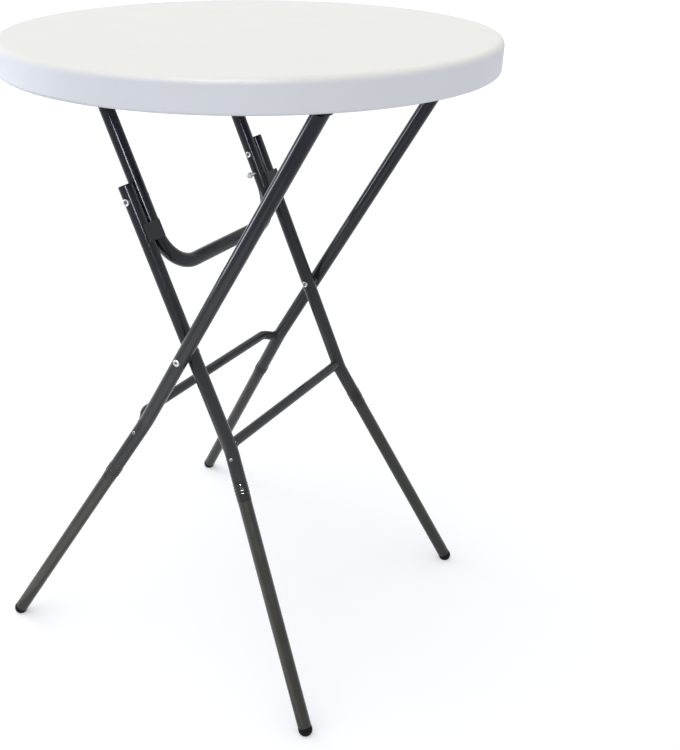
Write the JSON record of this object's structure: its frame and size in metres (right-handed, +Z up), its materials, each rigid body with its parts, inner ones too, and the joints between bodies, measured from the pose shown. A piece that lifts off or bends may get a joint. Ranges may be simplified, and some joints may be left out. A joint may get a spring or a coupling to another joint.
{
  "type": "folding bar table",
  "caption": "Round bar-height folding table: hollow white plastic top on two crossed, splayed tube leg frames with a U-shaped prop link, so that it folds flat.",
  "frame": {"origin": "on the floor under the middle of the round top, table standing open", "axes": "+Z up; Y along every hinge axis; X across the crossed frames, +X on the side of the hinge bar that is fixed to the outer frame A; left is -Y, right is +Y"},
  "size_m": [0.7999, 0.8, 1.1],
  "materials": {
    "top_plastic": "fine moulded grain, satin, warm white polyethylene",
    "powder_coat": "dark charcoal powder coat, half gloss",
    "lower_coat": "dark grey powder coat, half gloss",
    "nylon": "black moulded nylon, matt",
    "black_plastic": "black moulded plastic, satin",
    "foot_rubber": "black rubber, matt",
    "zinc": "bright zinc plate",
    "spring_steel": "drawn spring wire"
  },
  "bodies": {
    "frame_a": {"hinge_bar_a": "powder_coat", "bar_plugs_a": "black_plastic", "leg_a_left": "powder_coat", "leg_a_right": "powder_coat", "crossbar_a": "powder_coat", "collar_a_left": "black_plastic", "collar_a_right": "black_plastic", "lower_leg_a_left": "lower_coat", "lower_leg_a_right": "lower_coat", "leg_rivets_a": "zinc", "foot_a_left": "foot_rubber", "foot_a_right": "foot_rubber", "pivot_rivets": "zinc", "pivot_spacers": "nylon"},
    "top": {"table_top": "top_plastic", "hinge_block_a_left": "nylon", "hinge_block_a_right": "nylon", "hinge_block_u_left": "nylon", "hinge_block_u_right": "nylon", "block_screws": "zinc"},
    "frame_b": {"leg_b_left": "powder_coat", "leg_b_right": "powder_coat", "plug_b_left": "black_plastic", "plug_b_right": "black_plastic", "crossbar_b": "powder_coat", "collar_b_left": "black_plastic", "collar_b_right": "black_plastic", "lower_leg_b_left": "lower_coat", "lower_leg_b_right": "lower_coat", "leg_rivets_b": "zinc", "foot_b_left": "foot_rubber", "foot_b_right": "foot_rubber", "knee_rivets": "zinc", "knee_washers": "nylon"},
    "u_link": {"u_link": "powder_coat", "hinge_bar_u": "powder_coat", "bar_plugs_u": "black_plastic", "stop_plate_left": "powder_coat", "stop_plate_right": "powder_coat", "knee_rivet_tails": "zinc", "lock_spring": "spring_steel"},
    "lock_pin": {"lock_pin": "zinc"}
  },
  "joints": [
    {"name": "top_fold", "type": "hinge", "parent": "frame_a", "child": "top", "pos_m": [0.26771, 0, 1.052], "axis": [0, -1, 0], "range_deg": [0, 58.1]},
    {"name": "leg_fold", "type": "hinge", "parent": "frame_a", "child": "frame_b", "pos_m": [0.013, 0, 0.609], "axis": [0, 1, 0], "range_deg": [0, 54.1]},
    {"name": "prop_fold", "type": "hinge", "parent": "top", "child": "u_link", "pos_m": [-0.1942, 0, 1.052], "axis": [0, -1, 0], "range_deg": [0, 63.9]},
    {"name": "lock_slide", "type": "slide", "parent": "u_link", "child": "lock_pin", "axis": [0, 1, 0], "range_m": [0, 0.006], "deforming": ["lock_spring"]}
  ],
  "couplings": [
    {"joint": "leg_fold", "follows": "top_fold", "ratio": 0.93012},
    {"joint": "prop_fold", "follows": "top_fold", "ratio": 1.0991}
  ]
}
